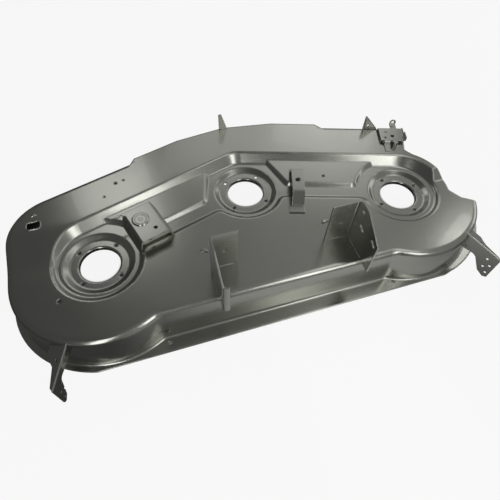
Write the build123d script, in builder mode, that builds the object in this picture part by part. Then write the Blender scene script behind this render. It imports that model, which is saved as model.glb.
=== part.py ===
"""Bare deck of a three-blade ride-on mower: pressed shell with its welded brackets.

Units are millimetres. The origin is on the centre spindle's axis, on the flat that the spindle
housing bolts to, with +X to the discharge side, +Y to the front of the machine and +Z up.
Sketches of the shell are drawn from the line through the two outer spindles, which sit behind
the centre one.
"""

import os
from math import atan2, cos, degrees, radians, sin, sqrt, tan

from build123d import *

# Spindles
spindle_span = 455.0
spindle_setback = 138.5
spindle_bore_radius = 54.5
spindle_bolt_square = 100.0
spindle_bolt_radius = 4.6
right_bolt_turn = 62.0
collar_depth = 12.0
collar_round = 5.0

# Pressed sheet and its levels over the spindle flats
sheet = 2.7
rim_z = -105.0
channel_z = 10.0
plateau_z = 20.0
shelf_z = 37.0
wall_draft = 3.0
step_slope = 45.0
top_round = 18.0
step_round = 9.0
foot_round = 8.0
rim_round = 6.0

# Outline of the shell at the rim
lobe_radius = 245.0
rear_wall = 213.0
side_tuck = 6.0
neck_round = 40.0
front_offset = 275.0
front_corner_round = 155.0
apex_half_width = 160.0
apex_offset = 265.0
rim_flange = 19.0
rim_behind = 12.0
volute_shift = (25.0, 18.0)
volute_margin = 30.0

# Rise from the plateau to the front shelf, on the closed side and on the discharge side
left_rise = (30.0, 131.0)
left_rise_round = 250.0
right_rise = (5.0, 40.0)
right_rise_round = 20.0

# Belt pan, its raised panels and the spindle pockets
pan_offset = 110.0
pan_apex_round = 60.0
pad_radius = 105.0
belt_strip_half = 22.0
strip_round = 28.0
panel_rear = 17.0
panel_gap = 126.5
panel_slant = 0.66
panel_outer_radius = 128.0
panel_outer_sweep = 55.0
panel_round = 24.0
panel_edge = 1.5
panel_edge_slope = 67.5
pocket_radius = 80.0
pocket_top_radius = 95.0
pocket_round = 6.0

# Discharge opening
discharge_radius = 155.0
discharge_from = -15.0
discharge_to = 48.0
discharge_rear = 108.0
discharge_corner = (626.0, -78.0)
chute_notch = (543.0, 140.0)
chute_edge = (582.0, 225.0)

# Front lip and the baffle under it
lip_half_width = 304.0
lip_apex = 259.5
lip_depth = 27.0
lip_slant = 40.0
baffle_inset = 8.0
baffle_depth = 96.0

# Small holes: across, forward of the outer spindles, and radius
service_holes = (
    (-372.0, 247.0, 4.0),
    (-348.0, 253.0, 2.5),
    (-410.0, 202.5, 2.5),
    (-561.5, -96.0, 5.0),
    (249.0, 120.0, 4.0),
)
rear_hole_x = (-323.0, 350.0)
rear_hole_radius = 4.0
hook_slot = (-608.0, 150.0)
hook_slot_size = (34.0, 22.0)

# Tall hanger plates behind the pan
hanger_middle = 28.5
hanger_half = 198.5
hanger_leaf = 72.0
hanger_front_y = -109.5
hanger_length = 124.5
hanger_height = 155.0
hanger_leaf_height = 138.0
hanger_top = 50.0
hanger_rear_height = 106.0
hanger_hang = -7.0
hanger_gauge = 5.0
hanger_return = 13.0
hanger_pin_radius = 5.5
hanger_pin_at = (28.0, 20.0)
hanger_slot = 22.0
hanger_slot_turn = 30.0
hanger_slots_at = ((44.0, 70.0), (103.0, 61.0))
hanger_rivet_radius = 2.8
hanger_rivets_at = ((16.0, 48.0), (16.0, 92.0))

# Gauge wheel brackets at the rear corners: root outboard of the spindle, short of the lobe's rear and
# up, then the fold's run outboard, rearward and up, then sizes from the tip
right_wheel_root = (111.0, 49.0, 18.0)
right_wheel_run = (58.5, -106.0, -23.0)
left_wheel_root = (100.0, 32.0, 14.0)
left_wheel_run = (44.0, -100.5, -15.0)
right_wheel_corner = 33.0
right_wheel_arch = 33.0
right_wheel_flange = 44.0
left_wheel_corner = 20.0
left_wheel_arch = 18.0
left_wheel_flange = 54.0
wheel_sink = 87.0
wheel_toe = 6.0
wheel_flange_run = 54.0
wheel_gauge = 4.0
wheel_flange_fall = 27.0
wheel_holes = ((30.0, 23.0), (13.0, 42.5), (27.0, 57.5), (11.0, 74.0))
wheel_hole_radius = 4.5

# Idler hat bracket, from the left spindle towards the centre one
hat_left = 115.0
hat_right = 197.0
hat_near = -41.0
hat_far = 76.0
hat_z = 60.0
hat_splay = 15.0
hat_gauge = 4.0
hat_ear = (74.0, 80.0)
hat_disc = (147.5, 30.6)
hat_disc_radius = 24.0
hat_disc_height = 3.0
hat_holes = ((170.0, -15.0), (107.0, 68.0))
hat_hole_radius = 5.0

# Belt strap, from the centre spindle towards the right one
strap_u = 155.5
strap_width = 36.0
strap_half = 41.0
strap_foot = 65.0
strap_near_foot = 95.0
foot_spare = 9.0
strap_far_foot = 78.0
strap_z = 60.0
strap_gauge = 4.0
strap_hole_radius = 8.0

# Chute hinge plate and stud, from the centre spindle along the right belt
hinge_u = (446.0, 526.0)
hinge_v = (192.0, 250.0)
hinge_rise = 8.0
hinge_tab = 15.0
hinge_gauge = 3.0
hinge_foot_u = 455.0
hinge_foot_width = 20.0
hinge_foot_v = 152.0
hinge_eye_u = 496.0
hinge_eye_radius = 10.0
hinge_eye_reach = 24.0
hinge_holes = ((466.0, 231.0, 3.5), (461.0, 205.0, 3.5), (485.0, 213.0, 6.0))
stud_at = (487.0, 180.0)
stud_radius = 9.5
stud_height = 18.0

# Tabs on the front edge
gusset_u = (396.0, 443.0)
gusset_v = 264.0
gusset_height = 48.0
gusset_gauge = 4.0
tab_x = 0.0
tab_y = 394.0
tab_width = 27.0
tab_height = 60.0
tab_lean = 10.0
tab_round = 5.0

# Room that the inner form runs past the sheet's open edges
run_out = 25.0

belt_angle = degrees(atan2(spindle_setback, spindle_span))
belt_tilt = tan(radians(belt_angle))
across = 1 / cos(radians(belt_angle))
belt_length = sqrt(spindle_span**2 + spindle_setback**2)
step_grow = tan(radians(step_slope / 2))
seam = spindle_span - pan_offset / 2
brow_split = 0.44 * spindle_span
spindles = ((-spindle_span, 0), (0, spindle_setback), (spindle_span, 0))


def level(z):
    """Level plane whose origin lies midway between the outer spindles."""
    return Plane(origin=(0, -spindle_setback, z))


def left_belt(z):
    """Level plane at the left spindle, X towards the centre spindle."""
    turn = radians(belt_angle)
    return Plane(origin=(-spindle_span, -spindle_setback, z), x_dir=(cos(turn), sin(turn), 0))


def right_belt(z):
    """Level plane at the centre spindle, X towards the right spindle."""
    turn = radians(belt_angle)
    return Plane(origin=(0, 0, z), x_dir=(cos(turn), -sin(turn), 0))


def front_line(x, offset):
    """Y of the line that runs parallel to the belts, a given distance in front of the spindles."""
    return spindle_setback + offset * across - abs(x) * belt_tilt


def belt_distance(point):
    """Distance of a point in front of the nearer line of spindles."""
    return (point.Y + abs(point.X) * belt_tilt) / across


def belt_gap(point):
    """Distance of a point from the lines that join the spindles."""
    along = (abs(point.X) * spindle_span - point.Y * spindle_setback) / belt_length**2
    along = min(max(along, 0), 1)
    return sqrt((abs(point.X) - along * spindle_span) ** 2 + (point.Y + along * spindle_setback) ** 2)


def body_outline(grow, necked):
    """Plan of the shell at the rim: two blade lobes, straight rear wall, gabled front."""
    lobe = lobe_radius + grow
    side = spindle_span + lobe - side_tuck
    lobe_centre = Vector(spindle_span, 0)
    front = front_offset + grow
    corner_round = front_corner_round + grow
    corner_turn = 90 - belt_angle
    tangent = corner_round * tan(radians(corner_turn / 2))
    corner_start = Vector(side, front_line(side, front) - tangent)
    corner_centre = corner_start - Vector(corner_round, 0)
    corner_mid = corner_centre + Vector(corner_round, 0).rotate(Axis.Z, corner_turn / 2)
    corner_end = corner_centre + Vector(corner_round, 0).rotate(Axis.Z, corner_turn)
    gable = Vector(apex_half_width, front_line(apex_half_width, front))
    apex = Vector(0, spindle_setback + apex_offset + grow)
    rear = rear_wall if necked else lobe
    reach = lobe + neck_round
    neck_centre = Vector(spindle_span - sqrt(reach**2 - (rear + neck_round) ** 2), -rear - neck_round)
    towards = (neck_centre - lobe_centre).normalized()
    lobe_start = lobe_centre + towards * lobe
    neck_turn = (90 + degrees(atan2(-towards.Y, -towards.X))) / 2
    neck_mid = neck_centre + Vector(neck_round, 0).rotate(Axis.Z, neck_turn)
    lobe_turn = lobe_centre + Vector(lobe, 0).rotate(Axis.Z, -45)
    lobe_mid = lobe_centre + Vector(lobe, 0).rotate(Axis.Z, -75)
    side_round = (side - lobe_turn.X) / (1 - cos(radians(45)))
    side_start = Vector(side, lobe_turn.Y + side_round * sin(radians(45)))
    side_centre = side_start - Vector(side_round, 0)
    side_mid = side_centre + Vector(side_round, 0).rotate(Axis.Z, -22.5)
    with BuildSketch() as outline:
        with BuildLine():
            Line((0, -rear), (neck_centre.X, -rear))
            if necked:
                ThreePointArc((neck_centre.X, -rear), neck_mid, lobe_start)
            ThreePointArc(lobe_start, lobe_mid, lobe_turn)
            ThreePointArc(lobe_turn, side_mid, side_start)
            Line(side_start, corner_start)
            ThreePointArc(corner_start, corner_mid, corner_end)
            Polyline(corner_end, gable, apex)
            Line(apex, (0, -rear))
        make_face()
        mirror(about=Plane.YZ)
    return outline.sketch


def rise_cut(rise, rounding, skin, side):
    """What lies above the plateau, the rise and the shelf, outboard of the raised panels on one side."""
    slope = atan2(shelf_z - plateau_z, rise[1] - rise[0])
    shift = skin * tan(slope / 2)
    reach = spindle_span + 2 * lobe_radius
    high = shelf_z + 2 * lobe_radius
    with BuildPart() as cut:
        with BuildSketch(
            Plane(origin=(side * seam, -spindle_setback, 0), x_dir=(0, 1, 0), z_dir=(1, 0, 0))
        ):
            with BuildLine():
                top_line = FilletPolyline(
                    (-reach, plateau_z - skin),
                    (rise[0] + shift, plateau_z - skin),
                    (rise[1] + shift, shelf_z - skin),
                    (reach, shelf_z - skin),
                    radius=[rounding + skin, rounding - skin],
                )
                Polyline(top_line @ 1, (reach, high), (-reach, high), top_line @ 0)
            make_face()
        extrude(amount=side * reach)
    return cut.part


def middle_cut(skin):
    """What lies above the plateau behind the belts, between the outer spindles."""
    reach = spindle_span + 2 * lobe_radius
    with BuildPart() as cut:
        with BuildSketch(level(plateau_z - skin)):
            with BuildLine():
                Polyline(
                    (-seam, -reach),
                    (seam, -reach),
                    (seam, front_line(seam, pan_offset / 2)),
                    (0, front_line(0, pan_offset / 2)),
                    (-seam, front_line(seam, pan_offset / 2)),
                    close=True,
                )
            make_face()
        extrude(amount=reach)
    return cut.part


def discharge_cut(spread):
    """Upright cut that opens the discharge side, moved outwards by spread."""
    radius = discharge_radius + spread
    start = Vector(spindle_span, 0) + Vector(radius, 0).rotate(Axis.Z, discharge_from)
    middle = Vector(spindle_span, 0) + Vector(radius, 0).rotate(Axis.Z, (discharge_from + discharge_to) / 2)
    end = Vector(spindle_span, 0) + Vector(radius, 0).rotate(Axis.Z, discharge_to)
    far = spindle_span + 2 * lobe_radius
    edge_top = Vector(chute_edge[0] + spread, chute_edge[1])
    beyond = Vector(edge_top.X + front_offset / 8, edge_top.Y + front_offset)
    with BuildPart() as cut:
        with BuildSketch(level(2 * rim_z)):
            with BuildLine():
                ThreePointArc(start, middle, end)
                Polyline(
                    end,
                    (chute_notch[0] + spread, chute_notch[1]),
                    edge_top,
                    beyond,
                    (far, beyond.Y),
                    (far, -discharge_rear + spread),
                    (spindle_span + lobe_radius - discharge_rear / 4 + spread, -discharge_rear + spread),
                    (discharge_corner[0] + spread, discharge_corner[1]),
                    start,
                )
            make_face()
        extrude(amount=-6 * rim_z)
    return cut.part


def pan_front(offset, rounding):
    """Plan of the pan in front of the belts, with a round end at each outer spindle."""
    turn = radians(belt_angle)
    end = Vector(spindle_span + sin(turn) * offset, cos(turn) * offset)
    with BuildSketch() as area:
        with BuildLine():
            FilletPolyline((-end.X, end.Y), (0, front_line(0, offset)), (end.X, end.Y), radius=rounding)
            Polyline((end.X, end.Y), spindles[2], spindles[1], spindles[0], (-end.X, end.Y))
        make_face()
        with Locations(spindles[0], spindles[2]):
            Circle(offset)
    return area.sketch


def pan_floor(grow):
    """Plan of the pan's floor: its front, the belt strips and the pad round the centre spindle."""
    with BuildSketch() as area:
        add(pan_front(pan_offset + grow, pan_apex_round + grow))
        strip = (belt_strip_half + grow) * across
        with BuildLine():
            Polyline(
                spindles[0], spindles[1], spindles[2],
                (spindle_span, -strip), (0, spindle_setback - strip), (-spindle_span, -strip), spindles[0],
            )
        make_face()
        with Locations(spindles[1]):
            Circle(pad_radius + grow)
        corners = area.vertices().filter_by(
            lambda v: v.Y < spindle_setback - abs(v.X) * belt_tilt - strip / 2 and abs(v.X) > 1
        )
        fillet(corners, radius=strip_round - grow)
    return area.sketch


def pan_cut(skin):
    """Space over the pan: sloped walls up to the plateau all round, and to the shelf in front."""
    grow = skin * step_grow
    step = plateau_z - channel_z
    step_out = step / tan(radians(step_slope))
    with BuildPart() as cut:
        with BuildSketch(level(channel_z - skin)):
            add(pan_floor(grow))
        extrude(amount=step, taper=-step_slope)
        with BuildSketch(level(plateau_z - skin)):
            add(pan_front(pan_offset + grow + step_out, pan_apex_round + grow + step_out))
        extrude(amount=2 * shelf_z, taper=-step_slope)
        if not skin:
            fillet(cut.faces().sort_by(Axis.Z)[0].edges(), radius=foot_round)
        add(panel(-1, skin), mode=Mode.SUBTRACT)
        add(panel(1, skin), mode=Mode.SUBTRACT)
    return cut.part


def panel(side, skin):
    """Raised panel between the belt strip and the pan's front wall, on one side of the centre."""
    step = plateau_z - channel_z
    root = step / 4
    shrink = skin * step_grow - root
    rear = panel_rear + shrink
    outer = panel_outer_radius + shrink
    inner = belt_length - panel_gap - shrink
    front = pan_offset + 3 * step
    outer_turn = degrees(atan2(rear, sqrt(outer**2 - rear**2)))
    start = Vector(outer, 0).rotate(Axis.Z, outer_turn)
    middle = Vector(outer, 0).rotate(Axis.Z, outer_turn + panel_outer_sweep / 2)
    end = Vector(outer, 0).rotate(Axis.Z, outer_turn + panel_outer_sweep)
    with BuildPart() as raised:
        with BuildSketch(left_belt(channel_z - skin - root)) as plan:
            with BuildLine():
                ThreePointArc(end, middle, start)
                Polyline(
                    start,
                    (inner, rear),
                    (inner + (front - rear) * panel_slant, front),
                    (end.X, front),
                    end,
                )
            make_face()
            fillet(plan.vertices().group_by(Axis.Y)[0], radius=panel_round - shrink)
        extrude(amount=step + root - panel_edge, taper=step_slope)
        top = raised.faces().sort_by(Axis.Z)[-1]
        extrude(top, amount=panel_edge, taper=panel_edge_slope)
    return raised.part if side < 0 else raised.part.mirror(Plane.YZ)


def pocket_cut(skin):
    """Conical pockets over the three spindle flats."""
    spread = degrees(atan2(pocket_top_radius - pocket_radius, channel_z))
    grow = skin * tan(radians((90 - spread) / 2))
    with BuildPart() as cut:
        with BuildSketch(level(-skin)):
            with Locations(*spindles):
                Circle(pocket_radius + grow)
        extrude(amount=channel_z, taper=-spread)
        if not skin:
            fillet(cut.faces().group_by(Axis.Z)[0].edges(), radius=pocket_round)
    return cut.part


def pressed_form(skin, below, spread):
    """Solid under the pressed sheet: skin is the depth under its outer face."""
    wall_skin = skin / cos(radians(wall_draft)) - below * tan(radians(wall_draft))
    with BuildPart() as form:
        with BuildSketch(level(rim_z - below)):
            add(body_outline(0, True))
            if wall_skin:
                offset(amount=-wall_skin, kind=Kind.INTERSECTION)
        extrude(amount=shelf_z - skin - rim_z + below, taper=wall_draft)
        add(rise_cut(left_rise, left_rise_round, skin, -1), mode=Mode.SUBTRACT)
        add(rise_cut(right_rise, right_rise_round, skin, 1), mode=Mode.SUBTRACT)
        add(middle_cut(skin), mode=Mode.SUBTRACT)
        add(discharge_cut(spread), mode=Mode.SUBTRACT)
        walls = form.faces().filter_by(lambda f: 0.03 < f.normal_at(f.center()).Z < 0.3)
        tops = form.faces().filter_by(lambda f: f.normal_at(f.center()).Z > 0.8)
        brow = walls.edges() & tops.edges()
        fillet(brow.sort_by(Axis.X), radius=top_round - skin)
        add(pan_cut(skin), mode=Mode.SUBTRACT)
        add(pocket_cut(skin), mode=Mode.SUBTRACT)
        if not skin:
            mouths = form.edges().filter_by(
                lambda e: e.geom_type == GeomType.CIRCLE
                and abs(e.radius - pocket_top_radius) < 2
                and abs(e.center().Z - channel_z) < 0.1
            )
            fillet(mouths, radius=pocket_round)
    return form.part


def pan_brow(faces):
    """Upper edges where the walls of the pan turn over into the plateau, the rise and the shelf."""
    slopes = faces.filter_by(
        lambda f: 0.6 < f.normal_at(f.center()).Z < 0.8 and belt_gap(f.center()) < pan_offset + shelf_z
    )
    tops = faces.filter_by(lambda f: f.normal_at(f.center()).Z > 0.85 and f.center().Z > plateau_z - 1)
    ridge = (slopes.edges() & tops.edges()).filter_by(
        lambda e: abs(e.center().X) > spindle_span
        or belt_distance(e.center()) < 0
        or e.center().Z > shelf_z - 1
    )
    return ridge.sort_by(Axis.Y, reverse=True)


def rim_plate():
    """Turned-out rim of the shell: straight behind the rear wall, wider towards the discharge."""
    far = 2 * spindle_span
    with BuildPart() as plate:
        with BuildSketch(level(rim_z)):
            add(body_outline(rim_flange, False))
            with BuildSketch():
                with Locations((spindle_span + volute_shift[0], volute_shift[1])):
                    Circle(lobe_radius + volute_margin)
                with Locations((0, far / 2)):
                    Rectangle(2 * far, far, mode=Mode.SUBTRACT)
            with Locations((0, -lobe_radius - rim_behind - far / 2)):
                Rectangle(2 * far, far, mode=Mode.SUBTRACT)
            with BuildSketch(mode=Mode.SUBTRACT):
                add(body_outline(0, True))
                offset(amount=-sheet / 2, kind=Kind.INTERSECTION)
        extrude(amount=sheet)
        add(discharge_cut(-rim_flange / 4), mode=Mode.SUBTRACT)
    return plate.part


def lip_line(setback):
    """Corners of the front lip's edge, from left to right, moved back by a distance."""
    front = front_offset - setback
    return [
        (-lip_half_width, front_line(lip_half_width, front)),
        (-apex_half_width, front_line(apex_half_width, front)),
        (0, spindle_setback + lip_apex - setback * across),
        (apex_half_width, front_line(apex_half_width, front)),
        (lip_half_width, front_line(lip_half_width, front)),
    ]


def lip_zone():
    """Stretch of the front where the sheet ends in a flat lip in place of a skirt."""
    far = spindle_setback + 2 * front_offset
    with BuildPart() as zone:
        with BuildSketch(level(2 * rim_z)):
            with BuildLine():
                Polyline(*lip_line(lip_depth), (lip_half_width, far), (-lip_half_width, far), close=True)
            make_face()
        extrude(amount=-6 * rim_z)
    return zone.part


def front_lip():
    """Flat lip of the sheet, lapped over the shelf behind it."""
    setback = lip_depth + top_round
    end = lip_half_width + lip_slant
    back = [(-end, front_line(end, front_offset - setback)), *lip_line(setback)[1:-1]]
    back.append((end, front_line(end, front_offset - setback)))
    with BuildPart() as lip:
        with BuildSketch(level(shelf_z - sheet)):
            with BuildLine():
                Polyline(*lip_line(0), *reversed(back), close=True)
            make_face()
        extrude(amount=sheet)
    return lip.part


def collar():
    """Sheet rolled down round a spindle bore."""
    lap = spindle_bore_radius + 2 * collar_round + sheet / 2
    centre = Vector(spindle_bore_radius + collar_round, -collar_round)
    half = Vector(-1, 1).normalized()
    with BuildPart() as ring:
        with BuildSketch(Plane.XZ):
            with BuildLine():
                Line((lap, 0), (centre.X, 0))
                ThreePointArc((centre.X, 0), centre + half * collar_round, (spindle_bore_radius, centre.Y))
                Polyline(
                    (spindle_bore_radius, centre.Y),
                    (spindle_bore_radius, -collar_depth),
                    (spindle_bore_radius + sheet, -collar_depth),
                    (spindle_bore_radius + sheet, centre.Y),
                    (centre.X, -sheet),
                    (lap, -sheet),
                    (lap, 0),
                )
            make_face()
        revolve(axis=Axis.Z)
    return ring.part


def sheet_holes():
    """Holes through the shell: spindle openings, bolt holes and the small service holes."""
    bolt_ring = spindle_bolt_square / sqrt(2)
    with BuildPart() as cut:
        with BuildSketch(level(-2 * collar_depth)):
            with Locations(*spindles):
                Circle(spindle_bore_radius + 1.5 * collar_round)
            for spindle, turn in zip(spindles, (45, 45, right_bolt_turn - 45)):
                with Locations(spindle):
                    with PolarLocations(bolt_ring, 4, start_angle=turn):
                        Circle(spindle_bolt_radius)
            for x, y, radius in service_holes:
                with Locations((x, y)):
                    Circle(radius)
            with Locations(hook_slot):
                RectangleRounded(hook_slot_size[0], hook_slot_size[1], hook_slot_size[1] / 4)
        extrude(amount=3 * shelf_z)
        with BuildSketch(level(rim_z - sheet)):
            for x in rear_hole_x:
                with Locations((x, -rear_wall - rim_flange)):
                    Circle(rear_hole_radius)
        extrude(amount=3 * sheet)
    return cut.part


def folded(points, gauge, bend):
    """Section of a sheet folded along a line of points; the gauge lies on the line's left."""
    corners = [Vector(*point) for point in points]
    runs = [(b - a).normalized() for a, b in zip(corners, corners[1:])]
    sides = [Vector(-run.Y, run.X) for run in runs]
    other = [corners[0] + sides[0] * gauge]
    base_round = []
    other_round = []
    for corner, one, two in zip(corners[1:-1], sides, sides[1:]):
        other.append(corner + (one + two) * (gauge / (1 + one.dot(two))))
        left_turn = one.X * two.Y - one.Y * two.X > 0
        base_round.append(bend + gauge if left_turn else bend)
        other_round.append(bend if left_turn else bend + gauge)
    other.append(corners[-1] + sides[-1] * gauge)
    with BuildSketch() as section:
        with BuildLine():
            FilletPolyline(*corners, radius=base_round)
            FilletPolyline(*other, radius=other_round)
            Line(corners[0], other[0])
            Line(corners[-1], other[-1])
        make_face()
    return section.sketch


def hanger(side, rear_return):
    """Tall folded hanger plate, with its leaf towards the middle of the deck."""
    plate_x = hanger_middle + side * hanger_half
    leaf_x = plate_x - side * hanger_leaf
    front_y = hanger_front_y
    rear_y = front_y - hanger_length
    line = [(leaf_x, front_y), (plate_x, front_y), (plate_x, rear_y)]
    if rear_return:
        line.append((plate_x - side * rear_return, rear_y))
    if side < 0:
        line.reverse()
    upright = Plane(origin=(plate_x, -spindle_setback, plateau_z), x_dir=(0, 1, 0), z_dir=(1, 0, 0))
    facing = Plane(origin=(plate_x, front_y - spindle_setback, plateau_z), x_dir=(1, 0, 0), z_dir=(0, -1, 0))
    with BuildPart() as bracket:
        with BuildSketch(level(rim_z / 4)):
            add(folded(line, hanger_gauge, hanger_gauge))
        extrude(amount=hanger_height - rim_z)
        with BuildSketch(upright):
            with BuildLine():
                Polyline(
                    (front_y + hanger_gauge, rim_z),
                    (front_y + hanger_gauge, hanger_leaf_height),
                    (front_y - 2 * hanger_gauge, hanger_height),
                    (front_y - hanger_top, hanger_height),
                    (rear_y, hanger_rear_height),
                    (rear_y - 2 * hanger_gauge, hanger_rear_height),
                    (rear_y - 2 * hanger_gauge, hanger_hang),
                    (rear_y + hanger_length / 3, hanger_hang),
                    (rear_y + hanger_length / 3, rim_z),
                    close=True,
                )
            make_face()
        extrude(amount=2 * hanger_leaf, both=True, mode=Mode.INTERSECT)
        with BuildSketch(upright):
            with Locations((front_y - hanger_pin_at[0], hanger_height - hanger_pin_at[1])):
                Circle(hanger_pin_radius)
            with Locations(*[(front_y - back, hanger_height - down) for back, down in hanger_slots_at]):
                SlotOverall(hanger_slot, 2 * hanger_pin_radius, rotation=hanger_slot_turn)
            with Locations(*[(front_y - back, hanger_height - down) for back, down in hanger_rivets_at]):
                Circle(hanger_rivet_radius)
        extrude(amount=2 * hanger_gauge, both=True, mode=Mode.SUBTRACT)
        with BuildSketch(facing):
            with Locations((-side * hanger_leaf / 2, hanger_leaf_height / 2)):
                Circle(hanger_pin_radius)
        extrude(amount=2 * hanger_gauge, both=True, mode=Mode.SUBTRACT)
        add(outer_form, mode=Mode.SUBTRACT)
    return bracket.part


def wheel_bracket(side, root, fold_run, corner, arch, width):
    """Folded gauge wheel bracket: drilled upright leaf with a sloped leaf outboard."""
    start = Vector(side * (spindle_span + root[0]), root[1] - lobe_radius - spindle_setback, root[2])
    run = Vector(side * fold_run[0], fold_run[1], 0)
    length = run.length
    run = run.normalized()
    rise = -fold_run[2]
    out = Vector(-run.Y, run.X, 0) * side
    fall = radians(wheel_flange_fall)
    side = out * cos(fall) - Vector(0, 0, 1) * sin(fall)
    fold = (run * length - Vector(0, 0, rise)).normalized()
    across_fold = (side - fold * side.dot(fold)).normalized()
    upright = Plane(origin=start - Vector(0, 0, rise), x_dir=run, z_dir=run.cross(Vector(0, 0, 1)))
    flange = Plane(origin=start, x_dir=fold, z_dir=fold.cross(across_fold))
    with BuildPart() as bracket:
        with BuildSketch(upright):
            with BuildLine():
                Polyline(
                    (-length / 2, rise * 1.5),
                    (length, 0),
                    (length, -wheel_sink),
                    (length - corner / 3, -wheel_sink - wheel_toe),
                    (length - corner, -wheel_sink + wheel_toe),
                    (length - 1.8 * corner, -arch - wheel_toe),
                    (length - 2.1 * corner, -arch),
                    (-length / 2, -arch),
                    close=True,
                )
            make_face()
            with Locations(*[(length - back, -down) for back, down in wheel_holes]):
                Circle(wheel_hole_radius, mode=Mode.SUBTRACT)
        extrude(amount=wheel_gauge / 2, both=True)
        with BuildSketch(flange):
            with BuildLine():
                Polyline(
                    (-length / 2, 0),
                    (length, 0),
                    (length - wheel_toe, width / 6),
                    (length - wheel_flange_run, width * 0.42),
                    (length - 1.25 * wheel_flange_run, width * 0.7),
                    (length - 1.4 * wheel_flange_run, width),
                    (-length / 2, width),
                    close=True,
                )
            make_face()
            with Locations((length - 1.3 * wheel_flange_run, width / 4)):
                Circle(wheel_hole_radius, mode=Mode.SUBTRACT)
        extrude(amount=wheel_gauge / 2, both=True)
        with BuildSketch(level(plateau_z - wheel_gauge / 8)):
            Rectangle(4 * spindle_span, 4 * spindle_span)
        extrude(amount=shelf_z, mode=Mode.SUBTRACT)
        add(outer_form, mode=Mode.SUBTRACT)
    return bracket.solids().sort_by(SortBy.VOLUME)[-1]


outer_form = pressed_form(0, 0, 0)
inner_form = pressed_form(sheet, run_out, run_out)

# Pressed shell: hollowed, trimmed and pierced, then rounded along the pan's brow on either side
with BuildPart() as blank:
    add(outer_form)
    add(inner_form, mode=Mode.SUBTRACT)
    add(rim_plate())
    rims = blank.faces().filter_by(
        lambda f: f.normal_at(f.center()).Z > 0.99 and abs(f.center().Z - rim_z - sheet) < 0.1
    )
    walls = blank.faces().filter_by(lambda f: 0.03 < f.normal_at(f.center()).Z < 0.3)
    fillet((rims.edges() & walls.edges()).sort_by(Axis.X), radius=rim_round)
    add(lip_zone(), mode=Mode.SUBTRACT)
    add(front_lip())
    add(sheet_holes(), mode=Mode.SUBTRACT)
    with Locations(*[(x, y - spindle_setback, 0) for x, y in spindles]):
        add(collar())

with BuildPart() as discharge_half:
    add(blank.part)
    split(bisect_by=Plane(origin=(brow_split, 0, 0), z_dir=(1, 0, 0)), keep=Keep.TOP)
    fillet(pan_brow(discharge_half.faces()), radius=step_round)

with BuildPart() as closed_half:
    add(blank.part)
    split(bisect_by=Plane(origin=(brow_split, 0, 0), z_dir=(1, 0, 0)), keep=Keep.BOTTOM)
    fillet(pan_brow(closed_half.faces()), radius=step_round)

with BuildPart() as deck_shell:
    add(discharge_half.part)
    add(closed_half.part)

# Strip under the front lip
with BuildPart() as front_baffle:
    with BuildSketch(level(shelf_z - sheet)):
        with BuildLine():
            Polyline(*lip_line(baffle_inset), *reversed(lip_line(baffle_inset + sheet)), close=True)
        make_face()
    extrude(amount=-baffle_depth)

# Hat bracket for the belt idler, beside the left spindle
with BuildPart() as idler_bracket:
    hat_side = Plane(left_belt(0).location.position + left_belt(0).y_dir * hat_far, left_belt(0).x_dir,
                     -left_belt(0).y_dir)
    with BuildSketch(hat_side):
        add(
            folded(
                [
                    (hat_right + hat_splay * 1.5, hat_z - (hat_z - plateau_z) * 1.5),
                    (hat_right, hat_z),
                    (hat_left, hat_z),
                    (hat_left - hat_splay, rim_z / 10),
                ],
                hat_gauge,
                hat_gauge / 2,
            )
        )
    extrude(amount=hat_far - hat_near)
    with BuildSketch(left_belt(hat_z - hat_gauge)):
        with BuildLine():
            Polyline(
                (hat_left + hat_gauge, hat_far - hat_gauge * 3),
                (hat_ear[0] + hat_gauge, hat_ear[1] - hat_gauge),
                hat_ear,
                (hat_left + hat_gauge, hat_far),
                close=True,
            )
        make_face()
    extrude(amount=hat_gauge)
    with BuildSketch(left_belt(hat_z)):
        with Locations(hat_disc):
            Circle(hat_disc_radius)
    extrude(amount=hat_disc_height, taper=45)
    with BuildSketch(left_belt(hat_z)):
        with Locations(*hat_holes):
            Circle(hat_hole_radius)
    extrude(amount=-2 * hat_gauge, mode=Mode.SUBTRACT)
    with BuildSketch(Plane(left_belt(0).location.position + left_belt(0).y_dir * (hat_near + 3 * hat_gauge),
                           left_belt(0).x_dir, -left_belt(0).y_dir)):
        with BuildLine():
            Polyline(
                (hat_left, hat_z - hat_gauge / 2),
                (hat_right, hat_z - hat_gauge / 2),
                (hat_right + hat_splay - hat_gauge / 2, plateau_z),
                (hat_right + hat_splay - hat_gauge / 2, channel_z / 2),
                (hat_left - hat_splay / 2, channel_z / 2),
                close=True,
            )
        make_face()
        with Locations(((hat_left + hat_right) / 2 - 2 * hat_hole_radius, (hat_z + plateau_z) / 2)):
            Circle(hat_hole_radius, mode=Mode.SUBTRACT)
    extrude(amount=-hat_gauge)
    add(outer_form, mode=Mode.SUBTRACT)

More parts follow.
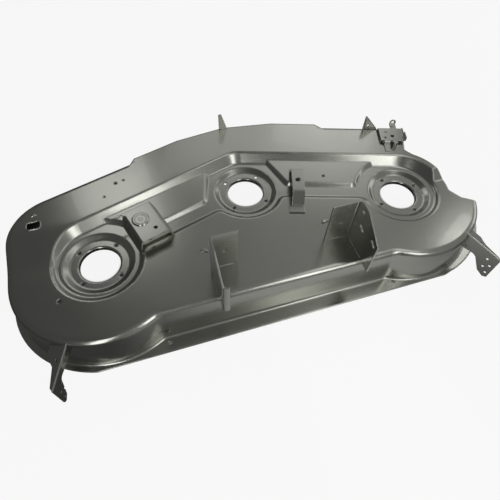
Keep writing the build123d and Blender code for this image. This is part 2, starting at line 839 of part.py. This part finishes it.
# Strap over the belt channel, between the centre and right spindles
with BuildPart() as belt_keeper:
    strap_side = Plane(right_belt(0).location.position + right_belt(0).x_dir * (strap_u - strap_width / 2),
                       right_belt(0).y_dir, right_belt(0).x_dir)
    with BuildSketch(strap_side):
        add(
            folded(
                [
                    (strap_far_foot, plateau_z),
                    (strap_foot, plateau_z),
                    (strap_half, strap_z - strap_gauge),
                    (-strap_half, strap_z - strap_gauge),
                    (-strap_foot, plateau_z),
                    (-strap_near_foot, plateau_z),
                ][::-1],
                strap_gauge,
                strap_gauge / 2,
            )
        )
    extrude(amount=strap_width)
    with BuildSketch(right_belt(plateau_z)):
        with Locations((strap_u - foot_spare / 2, -(strap_near_foot + strap_foot) / 2 - strap_gauge)):
            Rectangle(strap_width + foot_spare, strap_near_foot - strap_foot - 2 * strap_gauge)
    extrude(amount=strap_gauge)
    with BuildSketch(right_belt(strap_z)):
        with Locations((strap_u, 0)):
            Circle(strap_hole_radius)
    extrude(amount=-2 * strap_gauge, mode=Mode.SUBTRACT)

# Tall hanger plates behind the pan
with BuildPart() as left_hanger_bracket:
    add(hanger(-1, hanger_return))

with BuildPart() as right_hanger_bracket:
    add(hanger(1, 0))

# Gauge wheel brackets on the rear lobes
with BuildPart() as left_wheel_bracket:
    add(
        wheel_bracket(
            -1, left_wheel_root, left_wheel_run, left_wheel_corner, left_wheel_arch, left_wheel_flange
        )
    )

with BuildPart() as right_wheel_bracket:
    add(
        wheel_bracket(
            1, right_wheel_root, right_wheel_run, right_wheel_corner, right_wheel_arch, right_wheel_flange
        )
    )

# Raised plate for the chute's hinge at the discharge end of the shelf
with BuildPart() as chute_hinge_plate:
    hinge_side = Plane(right_belt(0).location.position + right_belt(0).y_dir * hinge_v[0],
                       right_belt(0).x_dir, -right_belt(0).y_dir)
    with BuildSketch(hinge_side):
        add(
            folded(
                [
                    (hinge_u[1], shelf_z + hinge_rise + hinge_tab),
                    (hinge_u[1], shelf_z + hinge_rise),
                    (hinge_u[0], shelf_z + hinge_rise),
                    (hinge_u[0] - hinge_rise / 4, shelf_z),
                ][::-1],
                hinge_gauge,
                hinge_gauge / 2,
            )
        )
    extrude(amount=hinge_v[0] - hinge_v[1])
    with BuildSketch(Plane(right_belt(0).location.position + right_belt(0).x_dir * hinge_foot_u,
                           right_belt(0).y_dir, right_belt(0).x_dir)):
        add(
            folded(
                [
                    (hinge_foot_v, shelf_z),
                    (hinge_v[0] - hinge_rise, shelf_z),
                    (hinge_v[0] - hinge_rise / 2, shelf_z + hinge_rise),
                    (hinge_v[0] + hinge_rise, shelf_z + hinge_rise),
                ],
                hinge_gauge,
                hinge_gauge / 2,
            )
        )
    extrude(amount=hinge_foot_width)
    eye_side = right_belt(0).location.position + right_belt(0).x_dir * (hinge_eye_u - hinge_eye_radius)
    with BuildSketch(Plane(eye_side, right_belt(0).y_dir, right_belt(0).x_dir)):
        add(
            folded(
                [
                    (hinge_v[1] - hinge_rise, shelf_z + hinge_rise),
                    (hinge_v[1] + hinge_eye_reach, shelf_z + hinge_rise),
                    (hinge_v[1] + hinge_eye_reach, shelf_z + hinge_rise + hinge_eye_radius),
                ],
                hinge_gauge,
                hinge_gauge / 2,
            )
        )
    extrude(amount=2 * hinge_eye_radius)
    eye = Plane(right_belt(0).location.position + right_belt(0).y_dir * (hinge_v[1] + hinge_eye_reach),
                right_belt(0).x_dir, -right_belt(0).y_dir)
    with BuildSketch(eye):
        with Locations((hinge_eye_u, shelf_z + hinge_rise + hinge_eye_radius)):
            Circle(hinge_eye_radius)
    extrude(amount=hinge_gauge)
    with BuildSketch(eye):
        with Locations((hinge_eye_u, shelf_z + hinge_rise + hinge_eye_radius)):
            Circle(hinge_eye_radius / 2)
    extrude(amount=2 * hinge_gauge, both=True, mode=Mode.SUBTRACT)
    with BuildSketch(right_belt(shelf_z + hinge_rise + 2 * hinge_gauge)):
        with Locations((hinge_u[1], hinge_v[1])):
            Rectangle(8 * hinge_gauge, hinge_v[1] - hinge_v[0])
    extrude(amount=2 * hinge_tab, mode=Mode.SUBTRACT)
    with BuildSketch(right_belt(shelf_z + hinge_rise)):
        for u, v, radius in hinge_holes:
            with Locations((u, v)):
                Circle(radius)
    extrude(amount=2 * hinge_gauge, both=True, mode=Mode.SUBTRACT)

# Round stud beside the hinge plate
with BuildPart() as chute_stud:
    with BuildSketch(right_belt(shelf_z)):
        with Locations(stud_at):
            Circle(stud_radius)
    extrude(amount=stud_height)
    chamfer(chute_stud.faces().sort_by(Axis.Z)[-1].edges(), length=stud_radius / 6)

# Triangular tab on the front edge of the shelf
with BuildPart() as front_gusset:
    with BuildSketch(Plane(right_belt(0).location.position + right_belt(0).y_dir * gusset_v,
                           right_belt(0).x_dir, -right_belt(0).y_dir)):
        with BuildLine():
            Polyline(
                (gusset_u[0], channel_z),
                (gusset_u[1], channel_z),
                (gusset_u[1], shelf_z),
                (gusset_u[0] + gusset_gauge, shelf_z + gusset_height),
                (gusset_u[0], shelf_z + gusset_height),
                close=True,
            )
        make_face()
        with Locations((gusset_u[0] + gusset_height / 3, shelf_z + gusset_height / 4)):
            Circle(gusset_gauge, mode=Mode.SUBTRACT)
    extrude(amount=gusset_gauge)
    with BuildSketch(Plane(right_belt(0).location.position + right_belt(0).x_dir * gusset_u[0],
                           right_belt(0).y_dir, right_belt(0).x_dir)):
        with BuildLine():
            Polyline(
                (gusset_v - gusset_gauge / 2, channel_z),
                (gusset_v - gusset_gauge / 2, shelf_z + gusset_height),
                (gusset_v - gusset_height / 4, shelf_z),
                (gusset_v - gusset_height / 4, channel_z),
                close=True,
            )
        make_face()
    extrude(amount=gusset_gauge)
    add(outer_form, mode=Mode.SUBTRACT)

# Small upright tab at the middle of the front lip
with BuildPart() as front_tab:
    tab_face = Plane(origin=(tab_x, tab_y - spindle_setback, shelf_z), x_dir=(1, 0, 0), z_dir=(0, -1, 0))
    with BuildSketch(tab_face) as tab_plan:
        with BuildLine():
            Polyline(
                (-tab_width / 2, 0),
                (tab_width / 2, 0),
                (tab_round - tab_lean, tab_height),
                (-tab_round - tab_lean, tab_height),
                close=True,
            )
        make_face()
        fillet(tab_plan.vertices().group_by(Axis.Z)[-1], radius=tab_round * 0.8)
    extrude(amount=sheet)

os.makedirs("parts", exist_ok=True)

deck_shell.part.label = "deck_shell"
export_step(deck_shell.part, "parts/deck_shell.step")
front_baffle.part.label = "front_baffle"
export_step(front_baffle.part, "parts/front_baffle.step")
idler_bracket.part.label = "idler_bracket"
export_step(idler_bracket.part, "parts/idler_bracket.step")
belt_keeper.part.label = "belt_keeper"
export_step(belt_keeper.part, "parts/belt_keeper.step")
left_hanger_bracket.part.label = "left_hanger_bracket"
export_step(left_hanger_bracket.part, "parts/left_hanger_bracket.step")
right_hanger_bracket.part.label = "right_hanger_bracket"
export_step(right_hanger_bracket.part, "parts/right_hanger_bracket.step")
left_wheel_bracket.part.label = "left_wheel_bracket"
export_step(left_wheel_bracket.part, "parts/left_wheel_bracket.step")
right_wheel_bracket.part.label = "right_wheel_bracket"
export_step(right_wheel_bracket.part, "parts/right_wheel_bracket.step")
chute_hinge_plate.part.label = "chute_hinge_plate"
export_step(chute_hinge_plate.part, "parts/chute_hinge_plate.step")
chute_stud.part.label = "chute_stud"
export_step(chute_stud.part, "parts/chute_stud.step")
front_gusset.part.label = "front_gusset"
export_step(front_gusset.part, "parts/front_gusset.step")
front_tab.part.label = "front_tab"
export_step(front_tab.part, "parts/front_tab.step")
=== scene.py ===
"""Looks of a bare ride-on mower deck: glossy gunmetal paint, welds and small pressed features."""

from math import cos, pi, radians, sin, tan

import bpy
from mathutils import Matrix, Vector


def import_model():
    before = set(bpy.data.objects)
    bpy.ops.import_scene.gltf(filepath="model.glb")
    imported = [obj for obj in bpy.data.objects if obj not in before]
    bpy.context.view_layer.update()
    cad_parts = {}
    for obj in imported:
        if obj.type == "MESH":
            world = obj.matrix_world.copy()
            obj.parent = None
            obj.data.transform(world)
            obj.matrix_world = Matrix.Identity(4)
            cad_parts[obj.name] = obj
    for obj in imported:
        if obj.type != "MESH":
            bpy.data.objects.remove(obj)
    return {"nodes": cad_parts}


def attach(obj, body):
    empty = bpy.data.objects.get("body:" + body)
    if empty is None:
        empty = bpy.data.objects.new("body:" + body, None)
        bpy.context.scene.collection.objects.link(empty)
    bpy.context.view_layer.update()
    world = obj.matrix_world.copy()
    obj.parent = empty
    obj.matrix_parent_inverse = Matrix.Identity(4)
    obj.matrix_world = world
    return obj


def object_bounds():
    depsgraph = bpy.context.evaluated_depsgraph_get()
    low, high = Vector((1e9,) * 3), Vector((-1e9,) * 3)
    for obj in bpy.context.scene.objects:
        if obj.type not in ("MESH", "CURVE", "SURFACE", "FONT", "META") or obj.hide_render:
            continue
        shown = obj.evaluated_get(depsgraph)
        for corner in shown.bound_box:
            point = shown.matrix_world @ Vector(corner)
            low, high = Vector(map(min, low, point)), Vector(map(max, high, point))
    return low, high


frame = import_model()
cad_low, cad_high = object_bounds()

# Camera, in metres and degrees
CAMERA_AT = Vector((-0.2881, -0.8428, 1.0088))
CAMERA_HEADING = 20.51
CAMERA_ELEVATION = 56.12
CAMERA_ROLL = 3.56
LENS_MM = 31.17
SENSOR_MM = 36.0

# Smooth shading breaks at edges sharper than this
SHARP_DEGREES = 35.0

# Places and openings of the spindles, in metres
SPINDLES = ((-0.455, -0.1385), (0.0, 0.0), (0.455, -0.1385))
BORE_RADIUS = 0.0545

# Floor and room: places in metres, levels as shares of white; a ramp has start, end, low and high
FLOOR_Z = cad_low.z
FLOOR_HALF = 12.0
FLOOR_GLOW = 0.9
FLOOR_TONE = 0.85
# Painted reflection: floor tone and glow as the paint mirrors them, darker to the left and dimmer to the far
# right
FLOOR_PAINTED_REFLECTION = 0.4
FLOOR_FROM_LEFT = (-0.5, 0.05, 0.08, 0.95)
FLOOR_TO_RIGHT = (0.3, 0.65, 1.0, 0.3)
ROOM_LEVEL = 0.1
ROOM_FROM_LEFT = (-0.4, 0.35, 0.05, 0.36)

# Painted shade on the floor under the deck, and painted pools of light under the spindle openings: boxes have
# left, right, rear and front edges
SHADE_MIDDLE = (-0.52, 0.52, -0.376, 0.1)
SHADE_SIDES = (-0.655, 0.615, -0.25, 0.055)
SHADE_EDGE = 0.012
SHADE_LEVEL = 0.03
# Painted pools of light on the floor under the spindle openings
PAINTED_POOL_START = 1.05 * BORE_RADIUS
PAINTED_POOL_END = 1.2 * BORE_RADIUS

LAMP_DISTANCE = 3.0

# Paint
METALLIC = 0.92
COAT = 0.5
COAT_ROUGHNESS = 0.05
SMOOTHEST = 0.18
ROUGHEST = 0.26
FLAKE_SCALE = 900.0
CLOUD_SCALE = 9.0
PEEL_STRENGTH = 0.03
PEEL_DEPTH = 0.0004
SHELL_EDGE = 0.006
BRACKET_EDGE = 0.002
EDGE_SAMPLES = 8

# Weld beads, tongues and rims
BEAD_RADIUS = 2.6
BEAD_STEP = 0.0008
BEAD_SIDES = 12
RIPPLE = 0.14
RIPPLE_STEPS = 4.5
ARC_STEPS = 24
CORNER_STEPS = 6
RIM_SIDES = 10


def node_tree(owner):
    """The emptied node tree of a material or world."""
    owner.use_nodes = True
    owner.node_tree.nodes.clear()
    return owner.node_tree


def link(tree, from_socket, to_socket):
    tree.links.new(from_socket, to_socket)


def shade_node(tree, kind, **values):
    """A new node with some of its sockets set."""
    node = tree.nodes.new(kind)
    for name, value in values.items():
        node.inputs[name.replace("_", " ")].default_value = value
    return node


def math(tree, operation, *values):
    """Output of a math node; each value is a socket or a number."""
    node = tree.nodes.new("ShaderNodeMath")
    node.operation = operation
    for place, value in zip(node.inputs, values):
        if isinstance(value, (int, float)):
            place.default_value = value
        else:
            link(tree, value, place)
    return node.outputs[0]


def ramp(tree, value, start, end, low, high):
    """A value that goes smoothly from low to high as another one goes from start to end."""
    node = shade_node(tree, "ShaderNodeMapRange", From_Min=start, From_Max=end, To_Min=low, To_Max=high)
    node.interpolation_type = "SMOOTHSTEP"
    link(tree, value, node.inputs["Value"])
    return node.outputs["Result"]


def direction(azimuth, elevation):
    """Unit vector; azimuth is in degrees from +Y towards +X."""
    level = cos(radians(elevation))
    turn = radians(azimuth)
    return Vector((level * sin(turn), level * cos(turn), sin(radians(elevation))))


def camera():
    """The camera at the photograph's place."""
    data = bpy.data.cameras.new("camera")
    data.lens = LENS_MM
    data.sensor_width = SENSOR_MM
    data.clip_start = 0.01
    data.clip_end = 100
    seat = bpy.data.objects.new("camera", data)
    bpy.context.scene.collection.objects.link(seat)
    turn = (
        Matrix.Rotation(radians(-CAMERA_HEADING), 4, "Z")
        @ Matrix.Rotation(radians(90 - CAMERA_ELEVATION), 4, "X")
        @ Matrix.Rotation(radians(CAMERA_ROLL), 4, "Z")
    )
    seat.matrix_world = Matrix.Translation(CAMERA_AT) @ turn
    bpy.context.scene.camera = seat


def softbox(name, aim, azimuth, elevation, width, height, brightness):
    """Rectangular lamp that faces a point; width and height are in degrees as seen from there."""
    data = bpy.data.lights.new(name, "AREA")
    data.shape = "RECTANGLE"
    data.size = 2 * LAMP_DISTANCE * tan(radians(width / 2))
    data.size_y = 2 * LAMP_DISTANCE * tan(radians(height / 2))
    data.energy = brightness * pi * data.size * data.size_y
    lamp = bpy.data.objects.new(name, data)
    bpy.context.scene.collection.objects.link(lamp)
    towards = direction(azimuth, elevation)
    lamp.location = Vector(aim) + towards * LAMP_DISTANCE
    lamp.rotation_mode = "QUATERNION"
    lamp.rotation_quaternion = (-towards).to_track_quat("-Z", "Y")


def inside(tree, split, left, right, rear, front):
    """One over a box of the floor, with soft edges; it masks the painted shade."""
    after_left = ramp(tree, split.outputs["X"], left - SHADE_EDGE, left + SHADE_EDGE, 0.0, 1.0)
    before_right = ramp(tree, split.outputs["X"], right - SHADE_EDGE, right + SHADE_EDGE, 1.0, 0.0)
    after_rear = ramp(tree, split.outputs["Y"], rear - SHADE_EDGE, rear + SHADE_EDGE, 0.0, 1.0)
    before_front = ramp(tree, split.outputs["Y"], front - SHADE_EDGE, front + SHADE_EDGE, 1.0, 0.0)
    across = math(tree, "MULTIPLY", after_left, before_right)
    along = math(tree, "MULTIPLY", after_rear, before_front)
    return math(tree, "MULTIPLY", across, along)


def floor():
    """White floor, with painted shade under the deck but for a painted pool of light under each spindle
    opening.
    """
    mesh = bpy.data.meshes.new("floor")
    corners = [(x * FLOOR_HALF, y * FLOOR_HALF, FLOOR_Z) for x, y in ((-1, -1), (1, -1), (1, 1), (-1, 1))]
    mesh.from_pydata(corners, [], [(0, 1, 2, 3)])
    ground = bpy.data.objects.new("floor", mesh)
    bpy.context.scene.collection.objects.link(ground)
    material = bpy.data.materials.new("floor_white")
    tree = node_tree(material)
    path = tree.nodes.new("ShaderNodeLightPath")
    plain = tree.nodes.new("ShaderNodeBsdfDiffuse")
    glow = shade_node(tree, "ShaderNodeEmission", Color=(1, 1, 1, 1), Strength=1.0)
    output = tree.nodes.new("ShaderNodeOutputMaterial")
    mix = tree.nodes.new("ShaderNodeMixShader")
    place = tree.nodes.new("ShaderNodeNewGeometry")
    split = tree.nodes.new("ShaderNodeSeparateXYZ")
    link(tree, place.outputs["Position"], split.inputs[0])
    shown = math(tree, "MAXIMUM", path.outputs["Is Camera Ray"], path.outputs["Is Transmission Ray"])
    # Painted reflection: the floor colour is darker to the left and to the far right
    from_left = ramp(tree, split.outputs["X"], *FLOOR_FROM_LEFT)
    to_right = ramp(tree, split.outputs["X"], *FLOOR_TO_RIGHT)
    painted_reflection = math(tree, "MULTIPLY", from_left, to_right)
    # Painted shade: the floor colour and glow drop to SHADE_LEVEL in two boxes under the deck
    middle = inside(tree, split, *SHADE_MIDDLE)
    sides = inside(tree, split, *SHADE_SIDES)
    painted_shade_and_pools = ramp(tree, math(tree, "MAXIMUM", middle, sides), 0.0, 1.0, 1.0, SHADE_LEVEL)
    # Painted pool of light where the camera's line of sight through each spindle opening meets the floor
    slide = -FLOOR_Z / CAMERA_AT.z
    for x, y in SPINDLES:
        seen_x = x + (x - CAMERA_AT.x) * slide
        seen_y = y + (y - CAMERA_AT.y) * slide
        aside = math(tree, "POWER", math(tree, "SUBTRACT", split.outputs["X"], seen_x), 2.0)
        along = math(tree, "POWER", math(tree, "SUBTRACT", split.outputs["Y"], seen_y), 2.0)
        away = math(tree, "SQRT", math(tree, "ADD", aside, along))
        painted_pool = ramp(tree, away, PAINTED_POOL_START, PAINTED_POOL_END, 1.0, 0.0)
        painted_shade_and_pools = math(tree, "MAXIMUM", painted_shade_and_pools, painted_pool)
    tone = math(tree, "MAXIMUM", painted_reflection, math(tree, "MULTIPLY", shown, FLOOR_TONE))
    link(tree, math(tree, "MULTIPLY", tone, painted_shade_and_pools), plain.inputs["Color"])
    # Painted reflection: the floor glows for glossy rays along the same ramp
    in_paint = math(tree, "MULTIPLY", path.outputs["Is Glossy Ray"], painted_reflection)
    in_paint = math(tree, "MULTIPLY", in_paint, FLOOR_PAINTED_REFLECTION)
    share = math(tree, "MAXIMUM", math(tree, "MULTIPLY", shown, FLOOR_GLOW), in_paint)
    link(tree, math(tree, "MULTIPLY", share, painted_shade_and_pools), mix.inputs["Fac"])
    link(tree, plain.outputs[0], mix.inputs[1])
    link(tree, glow.outputs[0], mix.inputs[2])
    link(tree, mix.outputs[0], output.inputs["Surface"])
    ground.data.materials.append(material)


def world():
    """Dim room, lighter to the right in the paint, that the camera sees as white."""
    bpy.context.scene.world = bpy.data.worlds.new("room")
    tree = node_tree(bpy.context.scene.world)
    path = tree.nodes.new("ShaderNodeLightPath")
    place = tree.nodes.new("ShaderNodeTexCoord")
    split = tree.nodes.new("ShaderNodeSeparateXYZ")
    link(tree, place.outputs["Generated"], split.inputs[0])
    room = shade_node(tree, "ShaderNodeBackground", Color=(1, 1, 1, 1))
    output = tree.nodes.new("ShaderNodeOutputWorld")
    shown = math(tree, "MAXIMUM", path.outputs["Is Camera Ray"], path.outputs["Is Transmission Ray"])
    from_left = ramp(tree, split.outputs["X"], *ROOM_FROM_LEFT)
    in_paint = math(tree, "MULTIPLY", path.outputs["Is Glossy Ray"], from_left)
    strength = math(tree, "MAXIMUM", shown, math(tree, "MAXIMUM", in_paint, ROOM_LEVEL))
    link(tree, strength, room.inputs["Strength"])
    link(tree, room.outputs[0], output.inputs["Surface"])


def gunmetal(name, dark, light, edge):
    """Dark metallic paint under a clear coat, with fine flake and a faint orange peel."""
    material = bpy.data.materials.new(name)
    tree = node_tree(material)
    output = tree.nodes.new("ShaderNodeOutputMaterial")
    paint = shade_node(tree, "ShaderNodeBsdfPrincipled", Metallic=METALLIC, Coat_Weight=COAT)
    paint.inputs["Coat Roughness"].default_value = COAT_ROUGHNESS
    place = tree.nodes.new("ShaderNodeTexCoord")
    speck = shade_node(tree, "ShaderNodeTexNoise", Scale=FLAKE_SCALE, Detail=3.0)
    cloud = shade_node(tree, "ShaderNodeTexNoise", Scale=CLOUD_SCALE, Detail=4.0)
    tone = tree.nodes.new("ShaderNodeMixRGB")
    tone.inputs["Color1"].default_value = dark
    tone.inputs["Color2"].default_value = light
    rough = shade_node(tree, "ShaderNodeMapRange", To_Min=SMOOTHEST, To_Max=ROUGHEST)
    soft_edge = shade_node(tree, "ShaderNodeBevel", Radius=edge)
    soft_edge.samples = EDGE_SAMPLES
    bump = shade_node(tree, "ShaderNodeBump", Strength=PEEL_STRENGTH, Distance=PEEL_DEPTH)
    link(tree, place.outputs["Object"], speck.inputs["Vector"])
    link(tree, place.outputs["Object"], cloud.inputs["Vector"])
    link(tree, speck.outputs["Fac"], tone.inputs["Fac"])
    link(tree, tone.outputs[0], paint.inputs["Base Color"])
    link(tree, cloud.outputs["Fac"], rough.inputs["Value"])
    link(tree, rough.outputs[0], paint.inputs["Roughness"])
    link(tree, soft_edge.outputs[0], bump.inputs["Normal"])
    link(tree, speck.outputs["Fac"], bump.inputs["Height"])
    link(tree, bump.outputs[0], paint.inputs["Normal"])
    link(tree, soft_edge.outputs[0], paint.inputs["Coat Normal"])
    link(tree, paint.outputs[0], output.inputs["Surface"])
    return material


def shade(mesh, material):
    """Paint and smooth shading for a mesh."""
    mesh.materials.clear()
    mesh.materials.append(material)
    mesh.shade_smooth()
    mesh.set_sharp_from_angle(angle=radians(SHARP_DEGREES))


def piece(name, points, faces, slot):
    """A small piece of the deck, fixed to it."""
    mesh = bpy.data.meshes.new(name)
    mesh.from_pydata(points, [], faces)
    mesh.update()
    shape = bpy.data.objects.new(name, mesh)
    bpy.context.scene.collection.objects.link(shape)
    shade(mesh, PAINT[slot])
    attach(shape, "root")
    return shape


def tube(rings, closed):
    """Points and faces of a tube through rings of points."""
    sides = len(rings[0])
    points = [point for ring in rings for point in ring]
    faces = []
    spans = len(rings) if closed else len(rings) - 1
    for row in range(spans):
        for side in range(sides):
            near = row * sides
            far = (row + 1) % len(rings) * sides
            beside = (side + 1) % sides
            faces.append((near + side, near + beside, far + beside, far + side))
    if not closed:
        faces.append(tuple(reversed(range(sides))))
        faces.append(tuple(range(len(points) - sides, len(points))))
    return points, faces


def bead(name, start, end, radius):
    """Rippled weld bead along a foot, between two points in millimetres."""
    start = Vector(start) / 1000
    end = Vector(end) / 1000
    along = (end - start).normalized()
    aside = along.orthogonal().normalized()
    up = along.cross(aside)
    steps = max(int((end - start).length / BEAD_STEP), 8)
    rings = []
    for step in range(steps + 1):
        share = step / steps
        close_off = max(1 - (2 * share - 1) ** 8, 0.02) ** 0.5
        size = radius / 1000 * close_off * (1 + RIPPLE * sin(step * 2 * pi / RIPPLE_STEPS))
        middle = start.lerp(end, share)
        turns = [2 * pi * k / BEAD_SIDES for k in range(BEAD_SIDES)]
        rings.append([middle + (aside * cos(turn) + up * sin(turn)) * size for turn in turns])
    points, faces = tube(rings, False)
    piece(name, points, faces, "bracket_paint")


def tongue(name, at, radius, turn, tilt, gauge, slot):
    """Half-round tongue lanced out of the sheet, hinged along its straight rear edge."""
    place = (
        Matrix.Translation(Vector(at) / 1000)
        @ Matrix.Rotation(radians(turn), 4, "Z")
        @ Matrix.Rotation(radians(tilt), 4, "X")
    )
    turns = [pi * k / ARC_STEPS for k in range(ARC_STEPS + 1)]
    arc = [Vector((cos(turn), 0.85 * sin(turn), 0)) * radius / 1000 for turn in turns]
    levels = []
    for height, inset in ((-1.0, 1.0), (0.55, 1.0), (0.85, 0.96), (1.0, 0.88)):
        lift = Vector((0, 0, height * gauge / 1000))
        levels.append([place @ (point * inset + lift) for point in arc])
    points, faces = tube(levels, False)
    piece(name, points, faces, slot)


def slot_rim(name, at, length, width, corner, section, slot):
    """Rolled rim round a rounded slot."""
    rings = []
    middle = Vector(at) / 1000
    up = Vector((0, 0, 1))
    for quarter in range(4):
        sign_x = 1 if quarter in (0, 3) else -1
        sign_y = 1 if quarter in (0, 1) else -1
        for step in range(CORNER_STEPS + 1):
            turn = pi / 2 * (quarter + step / CORNER_STEPS)
            out = Vector((cos(turn), sin(turn), 0))
            hub = Vector((sign_x * (length / 2 - corner), sign_y * (width / 2 - corner), 0))
            spine = middle + (hub + out * corner) / 1000
            bends = [2 * pi * k / RIM_SIDES for k in range(RIM_SIDES)]
            rings.append([spine + (out * cos(bend) + up * sin(bend)) * section / 1000 for bend in bends])
    points, faces = tube(rings, True)
    piece(name, points, faces, slot)


bpy.context.scene.view_settings.view_transform = "Standard"
camera()
world()
floor()
softbox("front_left", (-0.3, 0.1, 0.03), -8, 48.5, 14, 19, 1.35)
softbox("front_band", (0, 0, 0), 26, 39, 40, 18, 0.5)
softbox("front_right", (0.2, 0.1, 0), 33, 36, 18, 13, 0.6)
softbox("overhead_right", (0, 0, 0), 100, 65, 32, 14, 1.2)
softbox("right_spot", (0.56, -0.32, 0.02), 61, 46, 7, 7, 3.0)
softbox("rear_right", (0, 0, 0), 157, 38, 11, 34, 3.6)
softbox("rear_left", (0, 0, 0), -153, 27, 14, 42, 3.6)
softbox("right_low", (0, 0, 0), 80, 12, 39, 25, 1.0)

PAINT = {
    "shell_paint": gunmetal("shell_paint", (0.29, 0.293, 0.262, 1), (0.37, 0.374, 0.337, 1), SHELL_EDGE),
    "bracket_paint": gunmetal("bracket_paint", (0.28, 0.283, 0.254, 1), (0.36, 0.364, 0.329, 1), BRACKET_EDGE),
}
for name, node in frame["nodes"].items():
    slot = "shell_paint" if name in ("deck_shell", "front_baffle") else "bracket_paint"
    shade(node.data, PAINT[slot])

tongue("left_hanger_tongue", (-178, -193, 19.5), 12, -8, 24, 2.0, "shell_paint")
tongue("right_hanger_tongue", (184, -190, 19.5), 12, 10, 24, 2.0, "shell_paint")
tongue("hook_tongue", (-606, 44, 36.5), 9, 8, 30, 2.0, "shell_paint")
slot_rim("hook_slot_rim", (-608, 11.5, 37), 38, 26, 7.5, 2.4, "shell_paint")
slot_rim("hat_disc_ring", (-322.5, -67.7, 63), 32, 32, 16, 1.0, "bracket_paint")
slot_rim("hat_disc_mark", (-322.5, -67.7, 63), 10, 8, 1.5, 0.7, "bracket_paint")

bead("left_plate_weld_front", (-175.5, -258, 20), (-175.5, -288, 20), BEAD_RADIUS)
bead("left_plate_weld_rear", (-175.5, -300, 20), (-175.5, -330, 20), BEAD_RADIUS)
bead("left_leaf_weld", (-158, -248.5, 20), (-108, -248.5, 20), BEAD_RADIUS)
bead("right_plate_weld_front", (226.5, -256, 20), (226.5, -284, 20), BEAD_RADIUS)
bead("right_plate_weld_rear", (226.5, -298, 20), (226.5, -328, 20), BEAD_RADIUS)
bead("right_leaf_weld", (164, -248.5, 20), (214, -248.5, 20), BEAD_RADIUS)
bead("right_wheel_weld", (561, -332, 19.5), (576, -346, 14), 3.2)
